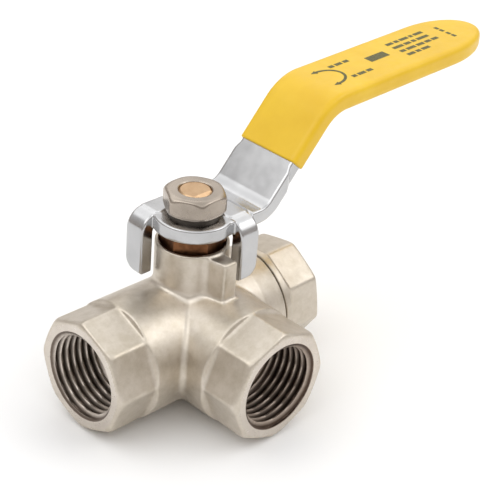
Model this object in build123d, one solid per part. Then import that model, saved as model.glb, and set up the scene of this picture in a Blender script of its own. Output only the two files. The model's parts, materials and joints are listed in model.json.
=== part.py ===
from build123d import *
import os
from math import cos, radians, sin, sqrt, tan

# Three way ball valve, G 1/2 female ports, L-bored ball, quarter turn lever. Millimetres.
# The sub-parts are drawn about the ball centre: +X along the run towards the end adapter,
# the common port along -Y, +Z up the stem. put_in_frame() then moves each one so that the
# origin is the centre of the common port's end face, where a fitter measures from.

# Ports
THREAD_MINOR_R = 18.631 / 2  # G 1/2 internal thread
MOUTH_R = 10.6  # countersink at the mouth of each port
PORT_DEPTH = 12.6  # end face to the end of the tapping hole
PASSAGE_R = 5.0
RUN_A = 31.5  # ball centre to each end face
RUN_B = 31.2
BRANCH_C = 30.2

# Forged body
OCTAGON_AF = 25.6
OCTAGON_LENGTH = 9.7
BODY_R = 14.0
END_R = 13.0  # to which the corners are turned down at every end face, at 45 degrees
COLLAR_R = 13.3
TAPER_START = 13.0  # the run narrows from here to the collar at the seam
SEAM_X = 19.5  # the adapter shoulders against the body here
NECK_R = 8.4
NECK_TOP = 23.6
NECK_CHAMFER = 0.3
NECK_RIM_R = 7.75  # inside the rim round the gland nut
RECESS_Z = 22.0
LUG_LEFT_ROOT = -4.6  # its left side flares out towards the stem axis
LUG_LEFT = -2.0
LUG_RIGHT = 1.7
LUG_REACH = 13.0
LUG_TOP = 23.2

# Ball, seats and their back-up rings
BALL_R = 9.25
BORE_R = 4.75
CAVITY_R = 9.5
CAVITY_END = 8.0
SEAT_GAP = 0.05
SEAT_INNER_R = 4.9
SEAT_CONTACT_R = 6.3
SEAT_OUTER_R = 6.95
SEAT_BACK = 9.2
RING_R = 6.2  # back-up O-ring, centre line
RING_WIRE_R = 0.58
POCKET_R = 7.0
POCKET_END = 10.4
SLOT_HALF = 1.6  # stem slot across the top of the ball
SLOT_FLOOR = 6.6

# End adapter
ADAPTER_AF = 24.4
ADAPTER_R = 13.2
ADAPTER_FLATS = 9.0  # length
ADAPTER_TURN = 12.0  # degrees that its octagon stops short of the body's
ADAPTER_NOSE_R = 9.4
ADAPTER_NOSE_X = 8.3
ADAPTER_MALE_R = 10.6
ADAPTER_SHOULDER_X = 11.2
SEAL_THICKNESS = 0.6
THREAD_CLEARANCE = 0.05

# Stem and its seals
STEM_R = 4.0
STEM_BORE_R = 4.05
STEM_TOP = 36.0
STEM_CHAMFER = 0.7
FLAT_Y = 3.0  # from the stem axis to the flat that drives the lever
TANG_HALF = 1.5
TANG_LENGTH = 8.0
TANG_FOOT = 6.8
STEM_COLLAR_R = 5.2
STEM_COLLAR_Z = (10.0, 11.5)
COLLAR_POCKET_R = 5.4
COLLAR_POCKET_TOP = 12.0
STEM_RING_Z = (13.2, 15.2)
STEM_RING_WIRE_R = 0.42
STEM_GROOVE_R = 3.18
STEM_GROOVE_HALF = 0.5
PACKING_Z = (16.5, 19.4)
GLAND_BORE_R = 6.3
GLAND_AF = 13.0
GLAND_HEAD_Z = (22.0, 26.8)
GLAND_TURN = 13.0  # degrees

# Lever, all bent from one strip
STEEL = 3.4
PLATE_Z = 27.1  # underside
PLATE_TOP = PLATE_Z + STEEL
HUB_R = 9.2
ARM_HALF = 8.7
GRIP_HALF = 8.1
ARM_ANGLE = 48.2  # degrees from the plate
ARM_FOOT_X = 15.0  # where the middle lines of plate and arm would meet
GRIP_MID_Z = 49.8  # middle line of the grip where it leaves the arm
GRIP_RISE = 1.9  # degrees
GRIP_END_X = 93.4
GRIP_TIP_LENGTH = 16.4
BEND_R = 6.0  # middle line radius of both bends
EAR_FACE = 11.3  # outer face of each ear from the stem axis
EAR_INNER = 4.3
EAR_OUTER = 9.6
EAR_FOOT = 16.2
EAR_BEND_R = 4.4  # outer radius
EAR_CORNER_R = 3.0
LOCK_WASHER_R = 6.0
LOCK_WASHER_TOP = PLATE_TOP + 0.6
NUT_AF = 13.0
NUT_TOP = 36.1
NUT_TURN = 1.0  # degrees, as it happened to end up when tightened
FIT_GAP = 0.05

# Vinyl sleeve
SLEEVE_WALL = 0.7
SLEEVE_START = 12.3  # along the arm from its foot
SLEEVE_EDGE_R = 1.5

SEAM_TURN = 11.0  # degrees; keeps the seam lines of turned faces off the octagons' corners
BASE = (Align.CENTER, Align.CENTER, Align.MIN)


def z_cylinder(z0, z1, radius):
    return Pos(0, 0, z0) * Cylinder(radius, z1 - z0, align=BASE)


def x_cylinder(x0, x1, radius):
    return Pos(x0, 0, 0) * Rot(0, 90, 0) * Cylinder(radius, x1 - x0, align=BASE)


def y_cylinder(y0, y1, radius):
    return Pos(0, y1, 0) * Rot(90, 0, 0) * Cylinder(radius, y1 - y0, align=BASE)


def turned(points):
    """Solid of revolution about +Z from (radius, height) points."""
    section = Plane.XZ * make_face(Polyline(*points, close=True))
    return Rot(0, 0, SEAM_TURN) * revolve(section, Axis.Z)


def facing(solid, port):
    """Turn a solid drawn along +Z so that its axis points out of the named port."""
    turn = {"a": Rot(0, -90, 0), "b": Rot(0, 90, 0), "c": Rot(90, 0, 0), "rear": Rot(-90, 0, 0)}
    return turn[port] * solid


def octagon(z0, z1, across_flats, turn=0.0):
    corner_r = across_flats / 2 / cos(radians(22.5))
    return extrude(Pos(0, 0, z0) * Rot(0, 0, turn) * RegularPolygon(corner_r, 8), z1 - z0)


def hexagon(z0, z1, across_flats):
    corner_r = across_flats / 2 / cos(radians(30))
    return extrude(Pos(0, 0, z0) * RegularPolygon(corner_r, 6), z1 - z0)


def port_hole(face, inner):
    """Countersink, tapping hole, drill point and passage, from the end face in to a seat pocket."""
    mouth = face - (MOUTH_R - THREAD_MINOR_R)
    foot = face - PORT_DEPTH
    drill = foot - (THREAD_MINOR_R - PASSAGE_R) * tan(radians(30))
    points = [
        (0, inner),
        (PASSAGE_R, inner),
        (PASSAGE_R, drill),
        (THREAD_MINOR_R, foot),
        (THREAD_MINOR_R, mouth),
        (MOUTH_R, face),
        (MOUTH_R, face + 1),
        (0, face + 1),
    ]
    return turned(points)


def arm(start, end, radius, across_flats, flats_length, turn=0.0):
    """Round bar along +Z with eight flats at its end, each running out up a slope to the round."""
    foot = end - flats_length
    run_out = radius - across_flats / 2 + 0.3
    slope = extrude(RegularPolygon(across_flats / 2 / cos(radians(22.5)), 8), run_out, taper=-45)
    flats = octagon(foot, end, across_flats, turn) + Pos(0, 0, foot) * Rot(180, 0, -turn) * slope
    flats += z_cylinder(start, foot - run_out, 2 * radius)
    rim = end - (radius - END_R)
    bar = turned([(0, start), (radius, start), (radius, rim), (END_R, end), (0, end)])
    return bar & flats


def body():
    """T-shaped forging: round run and branch with octagonal ends, neck and stop lug."""
    outside = facing(arm(0, RUN_A, BODY_R, OCTAGON_AF, OCTAGON_LENGTH), "a")
    towards_adapter = [(0, -1), (BODY_R, -1), (BODY_R, TAPER_START), (COLLAR_R, SEAM_X), (0, SEAM_X)]
    outside += facing(turned(towards_adapter), "b")
    outside += facing(arm(0, BRANCH_C, BODY_R, OCTAGON_AF, OCTAGON_LENGTH), "c")
    rim = NECK_TOP - NECK_CHAMFER
    rim_r = NECK_R - NECK_CHAMFER
    outside += turned([(0, 0), (NECK_R, 0), (NECK_R, rim), (rim_r, NECK_TOP), (0, NECK_TOP)])
    outside += stop_lug()
    for hole in body_holes():
        outside -= hole
    return outside


def stop_lug():
    """Upright rib on the common port's side of the neck, which the lever's ears run up against."""
    plan = Polyline(
        (LUG_LEFT_ROOT, 0), (LUG_LEFT, -LUG_REACH), (LUG_RIGHT, -LUG_REACH), (LUG_RIGHT, 0), close=True
    )
    rib = extrude(Pos(0, 0, BODY_R / 2) * make_face(plan), LUG_TOP - BODY_R / 2)
    tall_edges = rib.edges().filter_by(Axis.Z).sort_by(Axis.Y)[:2]
    return fillet(tall_edges, 0.5)


def body_holes():
    """Everything drilled, bored and tapped in the forging."""
    yield facing(port_hole(RUN_A, CAVITY_END), "a")
    yield facing(port_hole(BRANCH_C, CAVITY_END), "c")
    for port in ("a", "c", "rear"):
        yield facing(z_cylinder(0, POCKET_END, POCKET_R), port)
    yield x_cylinder(-CAVITY_END, ADAPTER_SHOULDER_X, CAVITY_R)
    yield x_cylinder(ADAPTER_SHOULDER_X - SEAL_THICKNESS, SEAM_X + 1, ADAPTER_MALE_R + THREAD_CLEARANCE)
    yield z_cylinder(0, COLLAR_POCKET_TOP, COLLAR_POCKET_R)
    yield z_cylinder(0, NECK_TOP, STEM_BORE_R)
    yield z_cylinder(PACKING_Z[0], NECK_TOP, GLAND_BORE_R)
    yield z_cylinder(RECESS_Z, NECK_TOP + 1, NECK_RIM_R)


def end_adapter():
    solid = arm(SEAM_X, RUN_B, ADAPTER_R, ADAPTER_AF, ADAPTER_FLATS, ADAPTER_TURN)
    solid += z_cylinder(ADAPTER_NOSE_X, ADAPTER_SHOULDER_X, ADAPTER_NOSE_R)
    solid += z_cylinder(ADAPTER_SHOULDER_X, SEAM_X, ADAPTER_MALE_R)
    solid -= z_cylinder(0, POCKET_END, POCKET_R)
    solid -= port_hole(RUN_B, CAVITY_END)
    return facing(solid, "b")


def adapter_seal():
    face = ADAPTER_SHOULDER_X - SEAL_THICKNESS
    return facing(washer(face, ADAPTER_SHOULDER_X, CAVITY_R, ADAPTER_MALE_R), "b")


def ball():
    """L-bored ball: one leg to port A, one to the common port, and a slot for the stem on top."""
    solid = Sphere(BALL_R)
    solid -= Sphere(BORE_R)
    solid -= x_cylinder(-BALL_R - 1, 0, BORE_R)
    solid -= y_cylinder(-BALL_R - 1, 0, BORE_R)
    solid -= Pos(0, 0, SLOT_FLOOR) * Box(2 * BALL_R, 2 * SLOT_HALF, BALL_R, align=BASE)
    return solid


def seat():
    """PTFE ring, drawn along +Z, whose hollow face fits the ball."""
    reach = BALL_R + SEAT_GAP
    lip = sqrt(reach**2 - SEAT_CONTACT_R**2)
    ring = turned(
        [(SEAT_INNER_R, 0), (SEAT_CONTACT_R, 0), (SEAT_CONTACT_R, lip),
         (SEAT_OUTER_R, lip + SEAT_OUTER_R - SEAT_CONTACT_R), (SEAT_OUTER_R, SEAT_BACK),
         (SEAT_INNER_R, SEAT_BACK)]
    )
    return ring - Sphere(reach)


def o_ring(height, centre_r, wire_r):
    return Pos(0, 0, height) * Torus(centre_r, wire_r)


def seat_ring():
    return o_ring((SEAT_BACK + POCKET_END) / 2, RING_R, RING_WIRE_R)


def stem():
    """Loaded from inside the body: tang, collar, two O-ring grooves, then a D-shaped M8 end."""
    solid = z_cylinder(STEM_COLLAR_Z[1], STEM_TOP, STEM_R)
    solid += z_cylinder(STEM_COLLAR_Z[0], STEM_COLLAR_Z[1], STEM_COLLAR_R)
    for height in STEM_RING_Z:
        low = height - STEM_GROOVE_HALF
        high = height + STEM_GROOVE_HALF
        solid -= z_cylinder(low, high, STEM_R + 1) - z_cylinder(low, high, STEM_GROOVE_R)
    waste = Box(4 * STEM_R, STEM_R, STEM_TOP - PLATE_Z, align=BASE)
    solid -= Pos(0, -FLAT_Y - STEM_R / 2, PLATE_Z) * waste
    top_edges = solid.edges().group_by(Axis.Z)[-1]
    solid = chamfer(top_edges, STEM_CHAMFER)
    tang_height = STEM_COLLAR_Z[0] - TANG_FOOT
    tang = Pos(0, 0, TANG_FOOT) * Box(TANG_LENGTH, 2 * TANG_HALF, tang_height, align=BASE)
    return solid + (tang & z_cylinder(TANG_FOOT, STEM_COLLAR_Z[0], TANG_LENGTH / 2))


def stem_ring(height):
    return o_ring(height, STEM_GROOVE_R + STEM_RING_WIRE_R, STEM_RING_WIRE_R)


def washer(z0, z1, inner_r, outer_r):
    return z_cylinder(z0, z1, outer_r) - z_cylinder(z0, z1, inner_r)


def thrust_washer():
    return washer(STEM_COLLAR_Z[1] + FIT_GAP, COLLAR_POCKET_TOP, STEM_BORE_R, COLLAR_POCKET_R - FIT_GAP)


def packing_ring():
    return washer(PACKING_Z[0], PACKING_Z[1], STEM_BORE_R, GLAND_BORE_R - FIT_GAP)


def gland_nut():
    """Brass nut down inside the neck, which presses the packing on the stem."""
    solid = z_cylinder(PACKING_Z[1], GLAND_HEAD_Z[0], GLAND_BORE_R - FIT_GAP)
    solid += Rot(0, 0, GLAND_TURN) * chamfered_nut(GLAND_HEAD_Z[0], GLAND_HEAD_Z[1], GLAND_AF)
    return solid - z_cylinder(PACKING_Z[1], GLAND_HEAD_Z[1], STEM_R + 2 * FIT_GAP)


def chamfered_nut(z0, z1, across_flats):
    """Hexagon whose corners are turned off at 30 degrees, above and below."""
    face_r = across_flats / 2 * 0.96
    corner_r = across_flats / 2 / cos(radians(30))
    run_out = (corner_r - face_r) * tan(radians(30))
    envelope = turned(
        [(0, z0), (face_r, z0), (corner_r, z0 + run_out), (corner_r, z1 - run_out), (face_r, z1), (0, z1)]
    )
    return hexagon(z0, z1, across_flats) & envelope


def lever_nut():
    nut = Rot(0, 0, NUT_TURN) * chamfered_nut(LOCK_WASHER_TOP, NUT_TOP, NUT_AF)
    return nut - z_cylinder(LOCK_WASHER_TOP, NUT_TOP, STEM_R + FIT_GAP)


def lever_path():
    """Middle line of the strip in the XZ plane: plate, rising arm, nearly level grip."""
    mid = PLATE_Z + STEEL / 2
    rise = GRIP_MID_Z - mid
    top_x = ARM_FOOT_X + rise / tan(radians(ARM_ANGLE))
    end_z = GRIP_MID_Z + (GRIP_END_X - top_x) * tan(radians(GRIP_RISE))
    return [(0, mid), (ARM_FOOT_X, mid), (top_x, GRIP_MID_Z), (GRIP_END_X, end_z)]


def strip_profile(points, thickness, radius):
    """Face in the XZ plane: a bent middle line given half the thickness each side."""
    line = FilletPolyline(*points, radius=radius)
    left = moved_sideways(line, thickness / 2)
    right = moved_sideways(line, -thickness / 2)
    ends = [Line(left @ t, right @ t) for t in (0, 1)]
    return Plane.XZ * make_face(left.edges() + right.edges() + ends[0].edges() + ends[1].edges())


def moved_sideways(line, distance):
    """The same chain of straight runs and arcs, a distance to its left."""
    moved = []
    for edge in line.edges():
        points = [edge @ t + (edge % t).rotate(Axis.Z, 90) * distance for t in (0, 0.5, 1)]
        straight = edge.geom_type == GeomType.LINE
        moved.append(Line(points[0], points[2]) if straight else ThreePointArc(*points))
    return Wire(moved)


def across(face, y0, y1):
    """Extrude a face of the XZ plane from y0 to y1."""
    return Pos(0, y1, 0) * extrude(face, y1 - y0)


def strip_plan(start_x, half, end_x):
    """Plan of the grip: parallel sides and a half ellipse at the end."""
    straight = end_x - GRIP_TIP_LENGTH
    outline = Pos((start_x + straight) / 2, 0) * Rectangle(straight - start_x, 2 * half)
    return outline + Pos(straight, 0) * Ellipse(GRIP_TIP_LENGTH, half)


def upright(plan):
    """Extrude a plan through the whole height of the lever."""
    return extrude(plan, 2 * GRIP_MID_Z)


def sleeve_mouth():
    """Where the sleeve begins on the middle line of the arm."""
    angle = radians(ARM_ANGLE)
    return (ARM_FOOT_X + SLEEVE_START * cos(angle), PLATE_Z + STEEL / 2 + SLEEVE_START * sin(angle))


def ear():
    """Stop tab bent down from the plate's edge, drawn for the -X side."""
    mid_x = -(EAR_FACE - STEEL / 2)
    root_x = EAR_BEND_R - EAR_FACE + 1
    points = [(root_x, PLATE_Z + STEEL / 2), (mid_x, PLATE_Z + STEEL / 2), (mid_x, EAR_FOOT)]
    tab = across(strip_profile(points, STEEL, EAR_BEND_R - STEEL / 2), EAR_INNER, EAR_OUTER)
    corner = tab.edges().filter_by(Axis.X).group_by(Axis.Z)[0].sort_by(Axis.Y)[-1]
    return fillet(corner, EAR_CORNER_R)


def lever_plate():
    """Hub disc and the squared corner beside the first ear."""
    bend_line = EAR_BEND_R - EAR_FACE
    plan = Circle(HUB_R)
    plan += Pos(bend_line, EAR_OUTER) * Rectangle(EAR_FACE, EAR_OUTER, align=(Align.MIN, Align.MAX))
    return Pos(0, 0, PLATE_Z) * extrude(plan, STEEL)


def beyond_bends():
    """What the flat strip must leave to the two ears."""
    bend_line = EAR_BEND_R - EAR_FACE
    first = Box(EAR_FACE, EAR_FACE, STEM_TOP, align=(Align.MAX, Align.MIN, Align.MIN))
    second = Box(EAR_OUTER - EAR_INNER, EAR_FACE, STEM_TOP, align=(Align.MIN, Align.MAX, Align.MIN))
    return Pos(bend_line, EAR_INNER, 0) * first + Pos(EAR_INNER, bend_line, 0) * second


def lever():
    strip = across(strip_profile(lever_path(), STEEL, BEND_R), -ARM_HALF, ARM_HALF)
    step_x = sleeve_mouth()[0] - (STEEL / 2 + SLEEVE_WALL) * sin(radians(ARM_ANGLE))
    plan = Pos(step_x / 2, 0) * Rectangle(step_x, 2 * ARM_HALF)
    plan += strip_plan(step_x, GRIP_HALF, GRIP_END_X)
    solid = (strip & upright(plan)) + lever_plate() - beyond_bends()
    first_ear = ear()
    solid += first_ear
    solid += mirror(first_ear, about=Plane(origin=(0, 0, 0), z_dir=(1, -1, 0)))
    return solid - stem_hole()


def stem_hole():
    """D-shaped, to fit the end of the stem."""
    hole = z_cylinder(PLATE_Z - 1, PLATE_TOP + 1, STEM_R + FIT_GAP)
    flat = Pos(0, -FLAT_Y - FIT_GAP, PLATE_Z - 1)
    beyond = Box(4 * STEM_R, 4 * STEM_R, STEEL + 2, align=(Align.CENTER, Align.MIN, Align.MIN))
    return hole & flat * beyond


def lever_sleeve():
    """Closed vinyl sleeve dipped over the grip; its long edges are rounded."""
    end_x = GRIP_END_X + SLEEVE_WALL
    end_z = lever_path()[-1][1] + SLEEVE_WALL * tan(radians(GRIP_RISE))
    path = [sleeve_mouth(), lever_path()[2], (end_x, end_z)]
    half = GRIP_HALF + SLEEVE_WALL
    outside = across(strip_profile(path, STEEL + 2 * SLEEVE_WALL, BEND_R), -half, half)
    outside = outside & upright(strip_plan(0, half, end_x))
    mouth = outside.faces().sort_by(Axis.X)[0]
    long_edges = [edge for edge in outside.edges() if edge not in mouth.edges()]
    return fillet(long_edges, SLEEVE_EDGE_R) - lever()


def put_in_frame(solid):
    return Pos(0, BRANCH_C, 0) * solid


def parts():
    """Every sub-part at rest, by node name."""
    made = {
        "body": body(),
        "end_adapter": end_adapter(),
        "adapter_seal": adapter_seal(),
        "ball": ball(),
        "stem": stem(),
        "thrust_washer": thrust_washer(),
        "stem_ring_lower": stem_ring(STEM_RING_Z[0]),
        "stem_ring_upper": stem_ring(STEM_RING_Z[1]),
        "packing_ring": packing_ring(),
        "gland_nut": gland_nut(),
        "lever": lever(),
        "lever_sleeve": lever_sleeve(),
        "lock_washer": washer(PLATE_TOP, LOCK_WASHER_TOP, STEM_R + FIT_GAP, LOCK_WASHER_R),
        "lever_nut": lever_nut(),
    }
    for port in ("a", "b", "c", "rear"):
        made["seat_" + port] = facing(seat(), port)
        made["seat_ring_" + port] = facing(seat_ring(), port)
    return made


os.makedirs("parts", exist_ok=True)
for node, solid in parts().items():
    export_step(put_in_frame(solid), f"parts/{node}.step")
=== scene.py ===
import json
from math import cos, hypot, pi, radians, sin, tan

import bmesh
import bpy
import numpy as np
from mathutils import Matrix, Vector


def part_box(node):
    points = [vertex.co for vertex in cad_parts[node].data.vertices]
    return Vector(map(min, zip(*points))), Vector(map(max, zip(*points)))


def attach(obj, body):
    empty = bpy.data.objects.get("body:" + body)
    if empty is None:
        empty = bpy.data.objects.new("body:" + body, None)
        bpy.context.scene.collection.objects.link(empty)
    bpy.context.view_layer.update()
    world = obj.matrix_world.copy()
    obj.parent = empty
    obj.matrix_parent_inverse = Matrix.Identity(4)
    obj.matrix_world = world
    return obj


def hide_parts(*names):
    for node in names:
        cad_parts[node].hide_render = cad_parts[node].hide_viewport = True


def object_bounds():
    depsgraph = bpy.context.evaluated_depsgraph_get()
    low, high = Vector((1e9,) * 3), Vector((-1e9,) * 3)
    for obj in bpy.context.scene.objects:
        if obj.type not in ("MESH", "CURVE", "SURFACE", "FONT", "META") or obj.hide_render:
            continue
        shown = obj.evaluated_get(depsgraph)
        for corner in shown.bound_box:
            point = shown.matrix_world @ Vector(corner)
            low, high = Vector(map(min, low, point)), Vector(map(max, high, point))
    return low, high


# The finished look of the three way valve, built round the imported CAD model.
#
# Shapes are worked out in millimetres about the ball centre, with +X along the run towards the
# end adapter, the common port along -Y and +Z up the stem, and go into the row frame in metres.
# A rounded solid is written as a field: the signed distance to its surface, negative inside.
# Smooth minima and maxima of such fields give the fillets of a forging and the soft edges of
# bent strip, and surface() turns a field into a mesh.

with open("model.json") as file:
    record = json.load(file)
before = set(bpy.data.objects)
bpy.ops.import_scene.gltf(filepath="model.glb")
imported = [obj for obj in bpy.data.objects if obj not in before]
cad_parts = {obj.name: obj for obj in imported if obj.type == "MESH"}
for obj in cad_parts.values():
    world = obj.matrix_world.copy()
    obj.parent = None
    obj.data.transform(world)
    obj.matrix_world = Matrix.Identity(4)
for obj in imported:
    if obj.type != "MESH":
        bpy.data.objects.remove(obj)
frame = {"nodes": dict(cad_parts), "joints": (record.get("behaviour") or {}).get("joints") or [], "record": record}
cad_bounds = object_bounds()

MM = 0.001
JOINTS = {joint["name"]: joint for joint in frame["joints"]}
CENTRE = Vector(JOINTS["ball_turn"]["pos_m"])


def span(node):
    """Lowest and highest corner of a CAD node, in millimetres about the ball centre."""
    return [np.array(corner - CENTRE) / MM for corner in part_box(node)]


MOUNTS = {mount["name"]: mount for mount in frame["record"]["mounts"]}

# Ports and body
BODY_LOW, BODY_HIGH = span("body")
RUN_A = -BODY_LOW[0]
BRANCH_C = -BODY_LOW[1]
BODY_R = BODY_HIGH[1]
SEAM_X = BODY_HIGH[0]
NECK_TOP = BODY_HIGH[2]
RUN_B = span("end_adapter")[1][0]
NOSE_X = span("end_adapter")[0][0]
COLLAR_R = 13.3
TAPER_START = 13.0
OCTAGON_HALF = 12.8
OCTAGON_LENGTH = 10.0
STEP_ANGLE = 64.0  # degrees from the flats up to the round
SEAM_HALF = 0.15  # half the width of the groove between body and adapter
END_R = 13.0  # to which the octagons' corners are turned down at each end face
ADAPTER_HALF = 12.2
ADAPTER_TURN = 12.0  # degrees that the adapter's octagon is out of line with the body's
ADAPTER_R = 13.2  # its round collar at the seam
ADAPTER_FLATS = 9.3  # length of its flats
ADAPTER_MALE_R = 10.6
ADAPTER_NOSE_R = 9.4
ADAPTER_PLAY = 0.05
SEAL_THICKNESS = 0.6
SHOULDER_X = 11.2
NECK_R = 8.4
RECESS_R = 7.75
RECESS_Z = span("gland_nut")[1][2] - 4.8
LUG_LEFT_ROOT = -4.6
LUG_LEFT = -2.0
LUG_RIGHT = 1.7
LUG_REACH = 13.0
LUG_TOP = 23.2
LUG_FOOT = 7.0

# G 1/2 internal thread and the holes behind it
STEM_HOLE_R = 4.05
PITCH = 25.4 / 14
THREAD_MINOR_R = MOUNTS["port_a"]["dims"]["r_mm"]
THREAD_MAJOR_R = 20.955 / 2
MOUTH_R = 10.6  # countersink at each port's face
THREAD_START = 0.52  # turns; where its first crest begins at the mouth
PORT_DEPTH = 12.6
SEGMENTS = 160  # of each ring of a cutting tool
RINGS_PER_PITCH = 12
PASSAGE_R = 5.0
POCKET_R = 7.0
POCKET_END = 10.4
CAVITY_R = 9.5
CAVITY_END = 8.0
STEP_UP = 0.001  # height of a shoulder between two bores
NECK_BORES = [(5.4, 12.0), (STEM_HOLE_R, 16.5), (6.3, RECESS_Z)]  # radius, and how high each one reaches

# Lever
PLATE_Z = span("lock_washer")[0][2]  # its top
STEEL = 3.4
LEVER_LOW, LEVER_HIGH = span("lever")
HUB_R = 9.2
ARM_HALF = 8.7
GRIP_HALF = 8.1
ARM_ANGLE = radians(48.2)
ARM_FOOT_X = 15.0
GRIP_Z = 49.8
GRIP_RISE = radians(1.9)
GRIP_END_X = LEVER_HIGH[0]
TIP_LENGTH = 16.4
ARM_BEND_R = 6.0
GRIP_BEND_R = 11.0
EAR_FACE = -LEVER_LOW[0]
EAR_INNER = 4.3
EAR_OUTER = 9.6
EAR_BEND_R = 4.4
EAR_CORNER_R = 3.0
EAR_FOOT = LEVER_LOW[2]
SLEEVE_WALL = 0.7
SLEEVE_START = 12.3
SLEEVE_GRIP = 0.25  # how much smaller its inside is than the strip it is stretched over

# Print on the grip: places along it from the bend and across it, and half widths of the strokes
INK_THICKNESS = 0.03
ARROW_LINE = 0.36
ARROW_HEAD = 0.75
BAR_LINE = 0.55
BAR_GAP = 0.55
BLOCK = (21.0, 27.5, 0.4, 1.3)  # start, end, across, half width
TIP_ROW = 49.2
TIP_BARS = (3.2, 1.5, -0.6, -2.3)
TIP_BAR_LENGTH = 1.3
TIP_BAR_LINE = 0.5
ARROW_START = 5.9
ARROW_LONG = 4.9
ARROW_WIDE = 3.7
ARROW_Y = -0.35
PRINTED_ROWS = [  # start, across, length of each bar
    (10.5, 3.3, (1.6, 2.2, 1.7)),
    (11.2, -3.5, (1.4, 2.5, 1.8)),
    (31.0, 3.4, (2.4, 1.5, 3.0, 1.2, 3.1)),
    (31.0, 1.1, (3.6, 2.2, 1.4, 4.2)),
    (31.0, -1.2, (1.8, 3.2, 2.6, 2.0, 2.2)),
    (31.0, -3.5, (2.6, 1.6, 2.8)),
]

# Nut
NUT_LOW, NUT_HIGH = span("lever_nut")
NUT_HALF = 6.5
NUT_BORE_R = 3.75  # crests of its thread
NUT_TURN = 1.0


# ---------------------------------------------------------------- fields


def smooth_min(a, b, width):
    """The lower of two fields, with a fillet where they meet."""
    share = np.clip(0.5 + 0.5 * (b - a) / width, 0, 1)
    return b * (1 - share) + a * share - width * share * (1 - share)


def smooth_max(a, b, width):
    """The higher of two fields, with a rounded edge where they meet."""
    return -smooth_min(-a, -b, width)


def smooth_all(fields, width):
    result = fields[0]
    for field in fields[1:]:
        result = smooth_max(result, field, width)
    return result


def prism(u, v, half, sides, turn, rounding):
    """Distance outside a regular prism of the given half width over its flats."""
    radius = np.hypot(u, v)
    step = 2 * pi / sides
    off_flat = np.abs((np.arctan2(v, u) - radians(turn)) % step - step / 2)
    near_flat = radius * np.cos(off_flat)
    next_flat = radius * np.cos(step - off_flat)
    return smooth_max(near_flat, next_flat, rounding) - half


def cone(radius, along, edge_radius, edge_along, slope):
    """Outside of a cone through a rim; slope is in degrees from the axis."""
    return (radius - edge_radius) * cos(radians(slope)) + (along - edge_along) * sin(radians(slope))


def octagonal_end(u, v, along, end, half, length, turn=0):
    """Flats at the end of a round arm, each running out in a filleted slope."""
    flats = prism(u, v, half, 8, turn, 0.45)
    behind = end - length - along
    step = flats * cos(radians(STEP_ANGLE)) - behind * sin(radians(STEP_ANGLE))
    rim = cone(np.hypot(u, v), along, END_R, end, 48)
    return smooth_max(smooth_max(smooth_min(flats, step, 0.5), rim, 0.9), along - end, 0.6)


def body_field(x, y, z):
    taper = (BODY_R - COLLAR_R) / (SEAM_X - TAPER_START)
    run_r = np.hypot(y, z)
    run = run_r - BODY_R + np.maximum(x - TAPER_START, 0) * taper
    run = smooth_max(run, octagonal_end(z, y, -x, RUN_A, OCTAGON_HALF, OCTAGON_LENGTH), 0.3)
    run = smooth_max(run, x - SEAM_X + SEAM_HALF, 0.5)
    branch = np.hypot(x, z) - BODY_R
    branch = smooth_max(branch, octagonal_end(x, z, -y, BRANCH_C, OCTAGON_HALF, OCTAGON_LENGTH), 0.3)
    branch = np.maximum(branch, y)
    crease = 1.6 * np.clip(1 - (z / BODY_R) ** 2, 0.01, 1)
    solid = smooth_min(run, branch, crease)
    neck = smooth_max(np.hypot(x, y) - NECK_R, z - NECK_TOP, 0.5)
    neck = np.maximum(neck, -z)
    solid = smooth_min(solid, neck, 1.5)
    return smooth_min(solid, lug_field(x, y, z), 1.1)


def lug_field(x, y, z):
    """Stop lug: a rib whose left side flares out towards the stem axis."""
    run_in = LUG_LEFT - LUG_LEFT_ROOT
    length = hypot(run_in, LUG_REACH)
    left = (-(x - LUG_LEFT_ROOT) * LUG_REACH - y * run_in) / length
    sides = [left, x - LUG_RIGHT, -y - LUG_REACH, z - LUG_TOP]
    return np.maximum(smooth_all(sides, 0.7), np.maximum(y, LUG_FOOT - z))


def adapter_field(x, y, z):
    radius = np.hypot(y, z)
    outside = octagonal_end(-z, y, x, RUN_B, ADAPTER_HALF, ADAPTER_FLATS, ADAPTER_TURN)
    outside = smooth_max(outside, radius - ADAPTER_R, 0.3)
    outside = smooth_max(outside, SEAM_X + SEAM_HALF - x, 0.4)
    male = np.maximum(radius - ADAPTER_MALE_R, np.maximum(SHOULDER_X - x, x - SEAM_X - 1))
    nose = np.maximum(radius - ADAPTER_NOSE_R, np.maximum(NOSE_X - x, x - SHOULDER_X - 1))
    return np.minimum(outside, np.minimum(male, nose))


def nut_field(x, y, z):
    radius = np.hypot(x, y)
    bottom, top = NUT_LOW[2], NUT_HIGH[2]
    face_r = NUT_HALF * 0.96
    solid = prism(x, y, NUT_HALF, 6, NUT_TURN, 0.9)
    solid = smooth_max(solid, cone(radius, z, face_r, top, 52), 0.5)
    solid = smooth_max(solid, cone(radius, -z, face_r, -bottom, 52), 0.5)
    solid = smooth_all([solid, z - top, bottom - z], 0.5)
    mouth = NUT_BORE_R + np.maximum(z - top + 0.2, 0)
    return smooth_max(solid, (mouth - radius) * 0.8, 0.15)


def segment_distance(x, z, start, end):
    along = np.array(end) - np.array(start)
    share = ((x - start[0]) * along[0] + (z - start[1]) * along[1]) / (along @ along)
    share = np.clip(share, 0, 1)
    return np.hypot(x - start[0] - share * along[0], z - start[1] - share * along[1])


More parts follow.
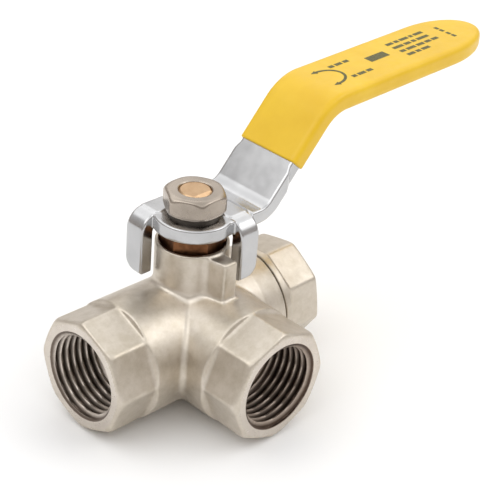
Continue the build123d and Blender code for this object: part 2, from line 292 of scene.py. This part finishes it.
def bent_distance(x, z, points, *radii):
    """Distance in the XZ plane from a path of straight runs joined by arcs of the given radii."""
    points = [np.array(point, float) for point in points]
    best = None
    start = points[0]
    for before, corner, after, radius in zip(points, points[1:], points[2:], radii):
        back = (before - corner) / np.linalg.norm(before - corner)
        on = (after - corner) / np.linalg.norm(after - corner)
        half = np.arccos(back @ on) / 2
        run_in = corner + back * radius / tan(half)
        run_out = corner + on * radius / tan(half)
        middle = (back + on) / np.linalg.norm(back + on)
        centre = corner + middle * radius / sin(half)
        straight = segment_distance(x, z, start, run_in)
        best = straight if best is None else np.minimum(best, straight)
        facing = ((x - centre[0]) * -middle[0] + (z - centre[1]) * -middle[1]) / np.hypot(
            x - centre[0], z - centre[1]
        ).clip(1e-6)
        arc = np.abs(np.hypot(x - centre[0], z - centre[1]) - radius)
        best = np.where(facing > sin(half), np.minimum(best, arc), best)
        start = run_out
    return np.minimum(best, segment_distance(x, z, start, points[-1]))


def lever_path():
    """Middle line of the lever's strip: plate, rising arm, nearly level grip."""
    middle = PLATE_Z - STEEL / 2
    top_x = ARM_FOOT_X + (GRIP_Z - middle) / tan(ARM_ANGLE)
    end_z = GRIP_Z + (GRIP_END_X - top_x) * tan(GRIP_RISE)
    return [(-2 * HUB_R, middle), (ARM_FOOT_X, middle), (top_x, GRIP_Z), (GRIP_END_X, end_z)]


def mouth_point():
    return np.array(lever_path()[1]) + SLEEVE_START * np.array((cos(ARM_ANGLE), sin(ARM_ANGLE)))


def strip_plan(x, y, start, half, end):
    """Plan of the grip: parallel sides and a half ellipse at the end."""
    straight = end - TIP_LENGTH
    over = np.maximum(x - straight, 0) / TIP_LENGTH
    ellipse = (np.hypot(over, y / half) - 1) * half
    return np.maximum(np.where(x > straight, ellipse, np.abs(y) - half), start - x)


def ear_field(across, along, z):
    """Stop tab bent down from the plate; across is towards its face, along is its width."""
    middle = PLATE_Z - STEEL / 2
    face = EAR_FACE - STEEL / 2
    path = [(0, middle), (face, middle), (face, EAR_FOOT)]
    thick = bent_distance(across, z, path, EAR_BEND_R - STEEL / 2) - STEEL / 2
    side = np.maximum(along - EAR_OUTER, EAR_INNER - along)
    corner_u = along - EAR_OUTER + EAR_CORNER_R
    corner_v = EAR_FOOT + EAR_CORNER_R - z
    corner = np.hypot(corner_u, corner_v) - EAR_CORNER_R
    side = np.where((corner_u > 0) & (corner_v > 0), np.maximum(side, corner), side)
    side = np.maximum(side, EAR_FOOT - z)
    return np.maximum(smooth_max(thick, side, 0.6), 1 - across)


def lever_field(x, y, z):
    path = lever_path()
    thick = bent_distance(x, z, path, ARM_BEND_R, GRIP_BEND_R) - STEEL / 2
    step_x = mouth_point()[0] - (STEEL / 2 + SLEEVE_WALL) * sin(ARM_ANGLE)
    half = ARM_HALF - (ARM_HALF - GRIP_HALF) * np.clip((x - step_x) / 1.2 + 1, 0, 1)
    plan = np.minimum(strip_plan(x, y, 0, half, GRIP_END_X), np.hypot(x, y) - HUB_R)
    bend_line = EAR_BEND_R - EAR_FACE
    corner = np.maximum(np.maximum(bend_line - x, x - 4.4), np.maximum(-y, y - EAR_OUTER))
    plan = np.minimum(plan, corner)
    plan = np.maximum(plan, np.minimum(bend_line - x, y - EAR_INNER))
    plan = np.maximum(plan, np.minimum(bend_line - y, np.minimum(x - EAR_INNER, EAR_OUTER - x)))
    strip = smooth_max(thick, plan, 0.6)
    ears = np.minimum(ear_field(-x, y, z), ear_field(-y, x, z))
    hole = np.maximum(np.hypot(x, y) - STEM_HOLE_R, z - PLATE_Z - 1)
    return np.maximum(smooth_min(strip, ears, 0.5), -hole)


def sleeve_field(x, y, z):
    """Dipped vinyl: thick at the edges and tip, with a soft lip at its mouth."""
    end_x = GRIP_END_X + SLEEVE_WALL
    path = lever_path()
    end_z = path[-1][1] + SLEEVE_WALL * tan(GRIP_RISE)
    thick = bent_distance(x, z, [path[1], path[2], (end_x, end_z)], GRIP_BEND_R)
    thick = thick - STEEL / 2 - SLEEVE_WALL
    plan = strip_plan(x, y, 0, GRIP_HALF + SLEEVE_WALL, end_x)
    outside = smooth_max(thick, plan, 1.7)
    start = mouth_point()
    along = (x - start[0]) * cos(ARM_ANGLE) + (z - start[1]) * sin(ARM_ANGLE)
    outside = smooth_max(outside, -along, 0.4)
    return np.maximum(outside, -lever_field(x, y, z) - SLEEVE_GRIP)


# ---------------------------------------------------------------- meshes


def surface(name, field, low, high, step):
    """Mesh of a field's zero surface, smooth shaded; its exact normals are set afterwards by use_field_normals."""
    low = np.array(low, float) - 1.5 * step
    high = np.array(high, float) + 2.5 * step
    grid = np.meshgrid(*[np.arange(a, b, step) for a, b in zip(low, high)], indexing="ij")
    points, quads = surface_nets(field(*grid))
    points = points * step + low
    for _ in range(3):
        distance = field(*points.T)
        slope = gradient(field, points)
        square = (slope**2).sum(1).clip(0.05)
        points -= np.clip(distance / square, -step, step)[:, None] * slope
    mesh = bpy.data.meshes.new(name)
    mesh.from_pydata((points * MM + np.array(CENTRE)).tolist(), [], quads.tolist())
    mesh.shade_smooth()
    obj = bpy.data.objects.new(name, mesh)
    bpy.context.scene.collection.objects.link(obj)
    return obj


def surface_nets(values):
    """Points and quads of the zero surface of a grid of values: one point in each cell it crosses."""
    cells = np.array(values.shape) - 1
    owners, crossings, quads = [], [], []
    for axis in range(3):
        ahead = [slice(1, None) if i == axis else slice(None) for i in range(3)]
        behind = [slice(None, -1) if i == axis else slice(None) for i in range(3)]
        before, after = values[tuple(behind)], values[tuple(ahead)]
        crossed = (before < 0) != (after < 0)
        corner = np.argwhere(crossed)
        before, after = before[crossed], after[crossed]
        crossing = corner.astype(float)
        crossing[:, axis] += before / (before - after)
        ring = []
        for back_u, back_v in ((1, 1), (0, 1), (0, 0), (1, 0)):
            cell = corner.copy()
            cell[:, (axis + 1) % 3] -= back_u
            cell[:, (axis + 2) % 3] -= back_v
            ring.append(np.ravel_multi_index(cell.T, cells))
            owners.append(ring[-1])
            crossings.append(crossing)
        quad = np.stack(ring, axis=1)
        quads.append(np.where((before < 0)[:, None], quad, quad[:, ::-1]))
    owners = np.concatenate(owners)
    crossings = np.concatenate(crossings)
    used, place = np.unique(owners, return_inverse=True)
    count = np.bincount(place)
    points = np.stack([np.bincount(place, crossings[:, i]) / count for i in range(3)], axis=1)
    return points, np.searchsorted(used, np.concatenate(quads))


def gradient(field, points, reach=0.02):
    columns = []
    for axis in range(3):
        offset = np.zeros(3)
        offset[axis] = reach
        columns.append(field(*(points + offset).T) - field(*(points - offset).T))
    return np.stack(columns, axis=1) / (2 * reach)


def use_field_normals(obj, field, tolerance=0.03):
    """Give the faces that lie on the field's surface its exact normals, but not the bored ones."""
    mesh = obj.data
    corner_vertex = np.zeros(len(mesh.loops), int)
    mesh.loops.foreach_get("vertex_index", corner_vertex)
    places = np.zeros(len(mesh.vertices) * 3)
    mesh.vertices.foreach_get("co", places)
    places = (places.reshape(-1, 3) - np.array(CENTRE)) / MM
    slope = gradient(field, places)
    slope /= np.linalg.norm(slope, axis=1)[:, None].clip(1e-6)
    on_surface = np.abs(field(*places.T)) < tolerance
    slope[~on_surface] = 0
    face_corners = np.zeros(len(mesh.polygons), int)
    mesh.polygons.foreach_get("loop_total", face_corners)
    face_material = np.zeros(len(mesh.polygons), int)
    mesh.polygons.foreach_get("material_index", face_material)
    inside = (THREAD_X_PAINTED_LIGHT_AND_SHADE, THREAD_Y_PAINTED_SHADE, NECK_BORE_PAINTED_SHADE)
    bored = [i for i, material in enumerate(mesh.materials) if material in inside]
    normals = slope[corner_vertex]
    normals[np.isin(np.repeat(face_material, face_corners), bored)] = 0
    mesh.normals_split_custom_set(normals.tolist())


def port_turn(port):
    """Rotation that turns +Z towards a port."""
    angle, axis = {"a": (-90, "Y"), "b": (90, "Y"), "c": (90, "X"), "up": (0, "Z")}[port]
    return Matrix.Rotation(radians(angle), 4, axis)


def turned_cutter(name, rings, port):
    """Closed tool whose rings are (height, radius or radii round the ring), facing a port."""
    angles = np.arange(SEGMENTS) * 2 * pi / SEGMENTS
    rows = []
    for height, radius in rings:
        radius = np.broadcast_to(radius, SEGMENTS)
        column = np.full(SEGMENTS, height)
        rows.append(np.stack([radius * np.cos(angles), radius * np.sin(angles), column], axis=1))
    points = np.concatenate(rows)
    faces = []
    for row in range(len(rings) - 1):
        for i in range(SEGMENTS):
            j = (i + 1) % SEGMENTS
            lower, upper = row * SEGMENTS, (row + 1) * SEGMENTS
            faces.append((lower + i, lower + j, upper + j, upper + i))
    faces.append(tuple(range(SEGMENTS))[::-1])
    faces.append(tuple(range(len(points) - SEGMENTS, len(points))))
    mesh = bpy.data.meshes.new(name)
    mesh.from_pydata((points * MM).tolist(), [], faces)
    mesh.shade_smooth()
    mesh.transform(Matrix.Translation(CENTRE) @ port_turn(port))
    obj = bpy.data.objects.new(name, mesh)
    bpy.context.scene.collection.objects.link(obj)
    return obj


def port_rings(face, inner, inner_radius):
    """Rings of a tapped port: passage, drill point, right-hand thread and countersunk mouth."""
    foot = face - PORT_DEPTH
    drill = foot - (THREAD_MINOR_R - PASSAGE_R) * tan(radians(30))
    rings = [(inner, inner_radius), (POCKET_END, inner_radius), (POCKET_END + STEP_UP, PASSAGE_R)]
    rings += [(drill, PASSAGE_R), (foot, THREAD_MINOR_R)]
    count = int(PORT_DEPTH / PITCH * RINGS_PER_PITCH)
    turn = np.arange(SEGMENTS) / SEGMENTS
    for height in np.linspace(foot, face, count + 1)[1:]:
        phase = ((height - face) / PITCH - turn + THREAD_START) % 1
        triangle = 1 - np.abs(2 * phase - 1)
        groove = np.clip(triangle * 1.5 - 0.25, 0, 1)
        groove = groove * min(1, (height - foot) / PITCH)
        radius = THREAD_MINOR_R + (THREAD_MAJOR_R - THREAD_MINOR_R) * groove
        rings.append((height, np.maximum(radius, MOUTH_R - 1.5 * (face - height))))
    return rings + [(face + 1, MOUTH_R + 1)]


def cut(obj, tool, material):
    """Subtract a tool, whose faces keep its own material."""
    tool.data.materials.append(material)
    carve = obj.modifiers.new("cut", "BOOLEAN")
    carve.operation = "DIFFERENCE"
    carve.solver = "MANIFOLD"
    carve.material_mode = "TRANSFER"
    carve.object = tool
    apply_modifiers(obj)
    bpy.data.objects.remove(tool)


def apply_modifiers(obj):
    evaluated = obj.evaluated_get(bpy.context.evaluated_depsgraph_get())
    shape = bpy.data.meshes.new_from_object(evaluated)
    obj.modifiers.clear()
    old = obj.data
    obj.data = shape
    bpy.data.meshes.remove(old)
    shape.name = obj.name


def turned_face(obj, axis, level, material):
    """Give the flat end face of a port its own material."""
    obj.data.materials.append(material)
    index = len(obj.data.materials) - 1
    for polygon in obj.data.polygons:
        flat = abs(polygon.normal[axis]) > 0.99
        if flat and abs((polygon.center[axis] - CENTRE[axis]) / MM - level) < 0.05:
            polygon.material_index = index


def finish_piece(obj, body, slot, *nodes):
    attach(obj, body)
    if nodes:
        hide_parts(*nodes)


# ---------------------------------------------------------------- materials


class Maker:
    """A new material's node tree, with the object's own coordinates in metres."""

    def __init__(self, name):
        self.material = bpy.data.materials.new(name)
        self.material.use_nodes = True
        self.nodes = self.material.node_tree.nodes
        self.links = self.material.node_tree.links
        self.shader = self.nodes["Principled BSDF"]
        self.place = self.nodes.new("ShaderNodeTexCoord").outputs["Object"]

    def set(self, **values):
        for name, value in values.items():
            self.shader.inputs[name.replace("_", " ")].default_value = value

    def link(self, output, name):
        self.links.new(output, self.shader.inputs[name])

    def stretched(self, scale):
        node = self.nodes.new("ShaderNodeMapping")
        node.inputs["Scale"].default_value = scale
        self.links.new(self.place, node.inputs["Vector"])
        return node.outputs["Vector"]

    def noise(self, size_mm, detail=3.0, roughness=0.55, place=None):
        """Noise whose largest lumps are about size_mm across."""
        node = self.nodes.new("ShaderNodeTexNoise")
        node.inputs["Scale"].default_value = 1 / (size_mm * MM)
        node.inputs["Detail"].default_value = detail
        node.inputs["Roughness"].default_value = roughness
        self.links.new(place or self.place, node.inputs["Vector"])
        return node.outputs["Fac"]

    def ramp(self, value, *stops):
        """Colours or greys at the given places."""
        node = self.nodes.new("ShaderNodeValToRGB")
        ramp = node.color_ramp
        while len(ramp.elements) < len(stops):
            ramp.elements.new(0.5)
        for element, (position, colour) in zip(ramp.elements, stops):
            element.position = position
            grey = isinstance(colour, (int, float))
            element.color = (colour, colour, colour, 1) if grey else (*colour, 1)
        self.links.new(value, node.inputs["Fac"])
        return node.outputs["Color"]

    def maths(self, operation, *values):
        node = self.nodes.new("ShaderNodeMath")
        node.operation = operation
        for socket, value in zip(node.inputs, values):
            if isinstance(value, (int, float)):
                socket.default_value = value
            else:
                self.links.new(value, socket)
        return node.outputs[0]

    def bump(self, height, depth_mm, before=None):
        """Normals of a relief of the given depth, over those of another relief."""
        node = self.nodes.new("ShaderNodeBump")
        node.inputs["Strength"].default_value = 1.0
        node.inputs["Distance"].default_value = depth_mm * MM
        self.links.new(height, node.inputs["Height"])
        if before:
            self.links.new(before, node.inputs["Normal"])
        return node.outputs["Normal"]

    def radius_from(self, axis, through):
        """Distance in metres from an axis through a point of the row frame."""
        shift = self.nodes.new("ShaderNodeVectorMath")
        shift.operation = "SUBTRACT"
        self.links.new(self.place, shift.inputs[0])
        shift.inputs[1].default_value = through
        flatten = self.nodes.new("ShaderNodeVectorMath")
        flatten.operation = "MULTIPLY"
        self.links.new(shift.outputs[0], flatten.inputs[0])
        flatten.inputs[1].default_value = [0 if i == "XYZ".index(axis) else 1 for i in range(3)]
        length = self.nodes.new("ShaderNodeVectorMath")
        length.operation = "LENGTH"
        self.links.new(flatten.outputs[0], length.inputs[0])
        return length.outputs["Value"]


def forged_nickel():
    """Satin nickel plate over tumbled forged brass: soft waviness and a fine grain."""
    m = Maker("forged_nickel")
    m.set(Metallic=1.0)
    tone = m.maths("MULTIPLY_ADD", m.noise(14, 4), 0.5, m.maths("MULTIPLY", m.noise(2.2, 6, 0.7), 0.5))
    m.link(m.ramp(tone, (0.38, (0.53, 0.472, 0.385)), (0.60, (0.66, 0.602, 0.525))), "Base Color")
    m.link(m.ramp(m.noise(3.5, 5, 0.65), (0.3, 0.36), (0.75, 0.50)), "Roughness")
    waves = m.bump(m.noise(5, 2), 0.07)
    m.link(m.bump(m.noise(0.3, 4), 0.016, waves), "Normal")
    return m.material


def machined_nickel(name, axis):
    """Turned face: plate over the fine rings that the lathe tool left."""
    m = Maker(name)
    m.set(Metallic=1.0)
    radius = m.radius_from(axis, CENTRE)
    rings = m.maths("SINE", m.maths("MULTIPLY", radius, 2 * pi / (0.16 * MM)))
    uneven = m.maths("MULTIPLY", rings, m.noise(2.0, 3))
    m.link(m.ramp(m.noise(6, 3), (0.3, (0.58, 0.52, 0.455)), (0.7, (0.68, 0.62, 0.55))), "Base Color")
    m.link(m.ramp(m.noise(1.2, 4), (0.3, 0.24), (0.7, 0.38)), "Roughness")
    m.link(m.bump(uneven, 0.006), "Normal")
    return m.material


def threaded_nickel(name, axis, crest_tone, painted_root_shade):
    """Tapped thread: plated crests, and roots darkened with painted shade."""
    m = Maker(name)
    m.set(Metallic=1.0)
    radius = m.maths("DIVIDE", m.radius_from(axis, CENTRE), MM)
    depth = m.maths("SUBTRACT", radius, THREAD_MINOR_R)
    height = m.maths("DIVIDE", depth, THREAD_MAJOR_R - THREAD_MINOR_R)
    height = m.maths("ADD", height, m.maths("MULTIPLY", m.noise(0.9, 3), 0.12))
    height = m.maths("MULTIPLY", height, 0.5)
    # darker towards the thread's roots: painted shade in the grooves
    tones = m.ramp(height, (0.08, crest_tone), (0.38, painted_root_shade), (0.52, painted_root_shade), (0.58, crest_tone))
    m.link(tones, "Base Color")
    m.link(m.ramp(m.noise(0.9, 3), (0.3, 0.38), (0.7, 0.50)), "Roughness")
    m.link(m.bump(m.noise(0.5, 2), 0.003), "Normal")
    return m.material


def bare_brass(name, dark, bright, low, high):
    """Brass turned about the stem's axis, in the tones given; for the gland nut these are near-black tones of
    painted shade.
    """
    m = Maker(name)
    m.set(Metallic=1.0)
    radius = m.radius_from("Z", CENTRE)
    rings = m.maths("SINE", m.maths("MULTIPLY", radius, 2 * pi / (0.22 * MM)))
    m.link(m.ramp(m.noise(2.5, 4), (0.3, dark), (0.7, bright)), "Base Color")
    m.link(m.ramp(m.noise(0.9, 4), (0.3, low), (0.7, high)), "Roughness")
    m.link(m.bump(m.maths("MULTIPLY", rings, m.noise(1.5, 2)), 0.008), "Normal")
    return m.material


def plated_steel(name, dark, bright, low, high, grain_mm, stretch=(1, 1, 1)):
    """Plate over rolled steel in the tones given, with faint marks along the stretch and small scuffs; the
    washer's near-black tones are painted shadow.
    """
    m = Maker(name)
    m.set(Metallic=1.0)
    rolled = m.noise(grain_mm, 2, 0.5, m.stretched(stretch))
    m.link(m.ramp(m.noise(8, 3), (0.3, dark), (0.7, bright)), "Base Color")
    m.link(m.ramp(rolled, (0.3, low), (0.7, high)), "Roughness")
    m.link(m.bump(rolled, 0.002, m.bump(m.noise(9, 2), 0.06)), "Normal")
    return m.material


def yellow_vinyl():
    """Dipped vinyl: slightly uneven skin, faint mottling and soft gloss."""
    m = Maker("yellow_vinyl")
    m.set(Specular_IOR_Level=0.4, Coat_Weight=0.1, Coat_Roughness=0.25)
    m.link(m.ramp(m.noise(10, 4), (0.3, (0.75, 0.46, 0.010)), (0.7, (0.82, 0.53, 0.020))), "Base Color")
    m.link(m.ramp(m.noise(2.2, 4), (0.3, 0.30), (0.7, 0.44)), "Roughness")
    m.link(m.bump(m.noise(0.5, 3), 0.012, m.bump(m.noise(6, 2), 0.12)), "Normal")
    return m.material


def printed_ink():
    """Pad-printed ink, thin in places so that the vinyl shows through."""
    m = Maker("printed_ink")
    thick, thin = (0.06, 0.065, 0.02), (0.16, 0.14, 0.03)
    m.link(m.ramp(m.noise(0.4, 4), (0.35, thick), (0.75, thin)), "Base Color")
    m.link(m.ramp(m.noise(0.5, 3), (0.3, 0.45), (0.7, 0.62)), "Roughness")
    m.link(m.bump(m.noise(0.3, 3), 0.005), "Normal")
    return m.material


def white_ptfe():
    """Turned PTFE: waxy, faintly translucent."""
    m = Maker("white_ptfe")
    m.set(Subsurface_Weight=0.15, Subsurface_Scale=0.001)
    m.link(m.ramp(m.noise(2, 3), (0.3, (0.80, 0.80, 0.77)), (0.7, (0.90, 0.90, 0.88))), "Base Color")
    m.link(m.ramp(m.noise(0.8, 3), (0.3, 0.36), (0.7, 0.50)), "Roughness")
    m.link(m.bump(m.noise(0.3, 2), 0.008), "Normal")
    return m.material


def black_rubber():
    """Moulded rubber, matt with a fine grain."""
    m = Maker("black_rubber")
    m.link(m.ramp(m.noise(1, 3), (0.3, (0.012, 0.012, 0.012)), (0.7, (0.03, 0.03, 0.03))), "Base Color")
    m.link(m.ramp(m.noise(0.5, 3), (0.3, 0.55), (0.7, 0.75)), "Roughness")
    m.link(m.bump(m.noise(0.15, 2), 0.006), "Normal")
    return m.material


def floor_paper():
    """White studio paper, very slightly uneven."""
    m = Maker("floor_paper")
    m.link(m.ramp(m.noise(120, 3), (0.3, 0.91), (0.7, 0.93)), "Base Color")
    m.set(Roughness=0.9, Specular_IOR_Level=0.1)
    return m.material


NICKEL = forged_nickel()
# Lit and shaded copies of one tapped thread: the run ports' crests are brightened as painted light, while the
# common port's and the neck bore's are darkened as painted shade.
THREAD_X_PAINTED_LIGHT_AND_SHADE = threaded_nickel("thread_x_painted_light_and_shade", "X", (0.72, 0.65, 0.58), (0.17, 0.135, 0.11))
THREAD_Y_PAINTED_SHADE = threaded_nickel("thread_y_painted_shade", "Y", (0.46, 0.385, 0.325), (0.09, 0.062, 0.047))
NECK_BORE_PAINTED_SHADE = threaded_nickel("neck_bore_painted_shade", "Z", (0.40, 0.32, 0.26), (0.10, 0.07, 0.05))
FACE_X = machined_nickel("turned_face_x", "X")
FACE_Y = machined_nickel("turned_face_y", "Y")
STEEL_PLATE = plated_steel(
    "plated_strip", (0.46, 0.46, 0.465), (0.55, 0.55, 0.555), 0.16, 0.24, 2.4, (0.25, 1, 1)
)
NUT_PLATE = plated_steel("plated_nut", (0.33, 0.285, 0.24), (0.46, 0.40, 0.34), 0.22, 0.34, 2.5)
# Lock washer darkened to near black: painted shadow in the gap under the nut.
WASHER_PAINTED_SHADOW = plated_steel("washer_painted_shadow", (0.08, 0.07, 0.06), (0.16, 0.14, 0.12), 0.35, 0.5, 0.6)
BALL_CHROME = plated_steel("chromed_ball", (0.78, 0.78, 0.78), (0.86, 0.86, 0.86), 0.05, 0.10, 2.0)
STEM_BRASS = bare_brass("stem_brass", (0.50, 0.325, 0.185), (0.60, 0.415, 0.25), 0.30, 0.46)
# Gland nut darkened to near-black brown: painted shade from the lever plate above it.
GLAND_BRASS_PAINTED_SHADE = bare_brass("gland_brass_painted_shade", (0.13, 0.055, 0.025), (0.26, 0.12, 0.055), 0.36, 0.55)
VINYL = yellow_vinyl()
INK = printed_ink()
PTFE = white_ptfe()
RUBBER = black_rubber()


# ---------------------------------------------------------------- pieces


def valve_body():
    step = 0.37
    obj = surface("valve_body", body_field, BODY_LOW, BODY_HIGH, step)
    obj.data.materials.append(NICKEL)
    entry_r = ADAPTER_MALE_R + ADAPTER_PLAY
    entry_end = SEAL_THICKNESS - SHOULDER_X
    run = [(-SEAM_X - 1, entry_r), (entry_end, entry_r)]
    run += [(entry_end + STEP_UP, CAVITY_R), (CAVITY_END, CAVITY_R)]
    port_a = port_rings(RUN_A, CAVITY_END + STEP_UP, POCKET_R)
    cut(obj, turned_cutter("run_tool", run + port_a, "a"), THREAD_X_PAINTED_LIGHT_AND_SHADE)
    branch = [(0, CAVITY_R - 1), (CAVITY_END - 1, CAVITY_R - 1)]
    port_c = port_rings(BRANCH_C, CAVITY_END - 1 + STEP_UP, POCKET_R)
    cut(obj, turned_cutter("branch_tool", branch + port_c, "c"), THREAD_Y_PAINTED_SHADE)
    neck = []
    start = 0
    for radius, reach in NECK_BORES:
        neck += [(start, radius), (reach, radius)]
        start = reach + STEP_UP
    neck += [(start, RECESS_R), (NECK_TOP + 1, RECESS_R)]
    cut(obj, turned_cutter("neck_tool", neck, "up"), NECK_BORE_PAINTED_SHADE)
    turned_face(obj, 0, -RUN_A, FACE_X)
    turned_face(obj, 1, -BRANCH_C, FACE_Y)
    obj.data.set_sharp_from_angle(angle=radians(35))
    use_field_normals(obj, body_field)
    finish_piece(obj, "housing", "nickel_brass", "body")


def adapter():
    low, high = span("end_adapter")
    step = 0.33
    obj = surface("run_adapter", adapter_field, low, high, step)
    obj.data.materials.append(NICKEL)
    cut(obj, turned_cutter("adapter_tool", port_rings(RUN_B, 0, POCKET_R), "b"), THREAD_X_PAINTED_LIGHT_AND_SHADE)
    turned_face(obj, 0, RUN_B, FACE_X)
    obj.data.set_sharp_from_angle(angle=radians(35))
    use_field_normals(obj, adapter_field)
    finish_piece(obj, "housing", "nickel_brass", "end_adapter")


def nut():
    obj = surface("handle_nut", nut_field, NUT_LOW, NUT_HIGH, 0.15)
    obj.data.materials.append(NUT_PLATE)
    use_field_normals(obj, nut_field)
    finish_piece(obj, "handle", "plated_nut", "lever_nut")


def lever():
    step = 0.3
    obj = surface("lever_strip", lever_field, LEVER_LOW, LEVER_HIGH, step)
    obj.data.materials.append(STEEL_PLATE)
    use_field_normals(obj, lever_field)
    finish_piece(obj, "handle", "plated_steel", "lever")


def sleeve():
    low, high = span("lever_sleeve")
    step = 0.3
    obj = surface("grip_sleeve", sleeve_field, low, high, step)
    obj.data.materials.append(VINYL)
    use_field_normals(obj, sleeve_field)
    finish_piece(obj, "handle", "yellow_vinyl", "lever_sleeve")


def grip_point(along, across, height):
    """A place on the top of the grip, measured from where the arm's line meets it."""
    bend_x = lever_path()[2][0]
    lift = STEEL / 2 + SLEEVE_WALL + height
    x = bend_x + along * cos(GRIP_RISE) - lift * sin(GRIP_RISE)
    z = GRIP_Z + along * sin(GRIP_RISE) + lift * cos(GRIP_RISE)
    return CENTRE + Vector((x, across, z)) * MM


def stroke(mesh, stations):
    """Add a thin raised ribbon through stations of (along, across, half width)."""
    places = np.array(stations, float)
    heading = np.gradient(places[:, :2], axis=0)
    heading /= np.linalg.norm(heading, axis=1)[:, None]
    rings = []
    for (along, across, half), (ahead, aside) in zip(places, heading):
        corners = ((1, INK_THICKNESS), (-1, INK_THICKNESS), (-1, -INK_THICKNESS), (1, -INK_THICKNESS))
        ring = [grip_point(along - aside * half * k, across + ahead * half * k, h) for k, h in corners]
        rings.append([mesh.verts.new(point) for point in ring])
    for ring, following in zip(rings, rings[1:]):
        for i in range(4):
            j = (i + 1) % 4
            mesh.faces.new((ring[i], ring[j], following[j], following[i]))
    mesh.faces.new(rings[0][::-1])
    mesh.faces.new(rings[-1])


def swing_arrow(mesh):
    """Half ellipse with a head at each end."""
    line = [(ARROW_START + ARROW_LONG * cos(t), ARROW_Y + ARROW_WIDE * sin(t), ARROW_LINE)
            for t in np.linspace(-pi / 2, pi / 2, 33)]
    stroke(mesh, line)
    for side in (-1, 1):
        across = ARROW_Y + side * ARROW_WIDE
        stroke(mesh, [(ARROW_START + 0.3, across, ARROW_HEAD), (ARROW_START - 1.4, across, 0.03)])


def markings():
    """Printed double arrow, and plain bars where a maker's words and sign would be."""
    mesh = bmesh.new()
    swing_arrow(mesh)
    for start, across, lengths in PRINTED_ROWS:
        for length in lengths:
            stroke(mesh, [(start, across, BAR_LINE), (start + length, across, BAR_LINE)])
            start += length + BAR_GAP
    start, end, across, half = BLOCK
    stroke(mesh, [(start, across, half), (end, across, half)])
    for across in TIP_BARS:
        stroke(mesh, [(TIP_ROW, across, TIP_BAR_LINE), (TIP_ROW, across - TIP_BAR_LENGTH, TIP_BAR_LINE)])
    data = bpy.data.meshes.new("grip_marks")
    bmesh.ops.recalc_face_normals(mesh, faces=mesh.faces)
    mesh.to_mesh(data)
    obj = bpy.data.objects.new("grip_marks", data)
    bpy.context.scene.collection.objects.link(obj)
    data.materials.append(INK)
    finish_piece(obj, "handle", "yellow_vinyl")


def dress_nodes():
    """CAD nodes whose own shape is right only need their material."""
    looks = {"stem": STEM_BRASS, "gland_nut": GLAND_BRASS_PAINTED_SHADE, "ball": BALL_CHROME}
    # the washer's near-black colour is painted shadow under the nut
    looks["lock_washer"] = WASHER_PAINTED_SHADOW
    for name, node in frame["nodes"].items():
        if name in looks:
            look = looks[name]
        elif name.startswith(("seat_ring", "stem_ring")):
            look = RUBBER
        else:
            look = PTFE
        node.data.materials.clear()
        node.data.materials.append(look)


# ---------------------------------------------------------------- stage

# Light of the room against the height of the direction it comes from
SKY = [
    (0.0, (0.26, 0.23, 0.21)),
    (0.57, (0.38, 0.375, 0.37)),
    (0.67, (1.0, 1.0, 1.0)),
    (0.75, (0.90, 0.90, 0.90)),
    (0.88, (0.68, 0.68, 0.68)),
    (1.0, (0.66, 0.66, 0.66)),
]
SKY_STRENGTH = 1.7
AZIMUTH, ELEVATION, ROLL = radians(-46.98), radians(30.22), radians(4.79)
CAMERA_DISTANCE = 0.330
CAMERA_RIGHT = 0.0145
CAMERA_UP = 0.01775
LENS_MM = 102.98


def floor():
    low, _ = cad_bounds
    bpy.ops.mesh.primitive_plane_add(size=6, location=(0, 0, low.z))
    plane = bpy.context.object
    plane.name = "floor"
    plane.data.materials.append(floor_paper())


def area_light(name, place, size, power):
    data = bpy.data.lights.new(name, "AREA")
    data.shape = "RECTANGLE"
    data.size, data.size_y = size
    data.energy = power
    obj = bpy.data.objects.new(name, data)
    obj.location = Vector(place)
    obj.rotation_euler = (CENTRE - Vector(place)).to_track_quat("-Z", "Y").to_euler()
    bpy.context.scene.collection.objects.link(obj)


def lighting():
    """A room that is brightest half way up, and three soft boxes."""
    world = bpy.data.worlds.new("studio")
    world.use_nodes = True
    bpy.context.scene.world = world
    nodes, links = world.node_tree.nodes, world.node_tree.links
    split = nodes.new("ShaderNodeSeparateXYZ")
    links.new(nodes.new("ShaderNodeTexCoord").outputs["Generated"], split.inputs[0])
    ramp = nodes.new("ShaderNodeValToRGB")
    while len(ramp.color_ramp.elements) < len(SKY):
        ramp.color_ramp.elements.new(0.5)
    for element, (height, colour) in zip(ramp.color_ramp.elements, SKY):
        element.position = height
        element.color = (*colour, 1)
    links.new(split.outputs["Z"], ramp.inputs["Fac"])
    background = nodes["Background"]
    links.new(ramp.outputs["Color"], background.inputs["Color"])
    background.inputs["Strength"].default_value = SKY_STRENGTH
    area_light("left_softbox", (-0.6, 0.25, 0.95), (0.8, 0.8), 1.6)
    area_light("right_softbox", (0.6, -0.52, 0.72), (0.6, 0.6), 1.5)
    area_light("back_softbox", (0.72, 0.68, 0.56), (1.0, 0.6), 0.9)


def camera():
    """The view over port A and the common port."""
    back = Vector((sin(AZIMUTH) * cos(ELEVATION), -cos(AZIMUTH) * cos(ELEVATION), sin(ELEVATION)))
    level = Vector((cos(AZIMUTH), sin(AZIMUTH), 0))
    upward = back.cross(level)
    right = level * cos(ROLL) + upward * sin(ROLL)
    up = upward * cos(ROLL) - level * sin(ROLL)
    data = bpy.data.cameras.new("camera")
    data.sensor_width = 36
    data.lens = LENS_MM
    obj = bpy.data.objects.new("camera", data)
    turn = Matrix((right, up, back)).transposed().to_4x4()
    eye = CENTRE + back * CAMERA_DISTANCE + right * CAMERA_RIGHT + up * CAMERA_UP
    obj.matrix_world = Matrix.Translation(eye) @ turn
    bpy.context.scene.collection.objects.link(obj)
    bpy.context.scene.camera = obj


camera()
lighting()
floor()
dress_nodes()
valve_body()
adapter()
nut()
lever()
sleeve()
markings()
bpy.context.scene.view_settings.view_transform = "Standard"
bpy.context.view_layer.update()
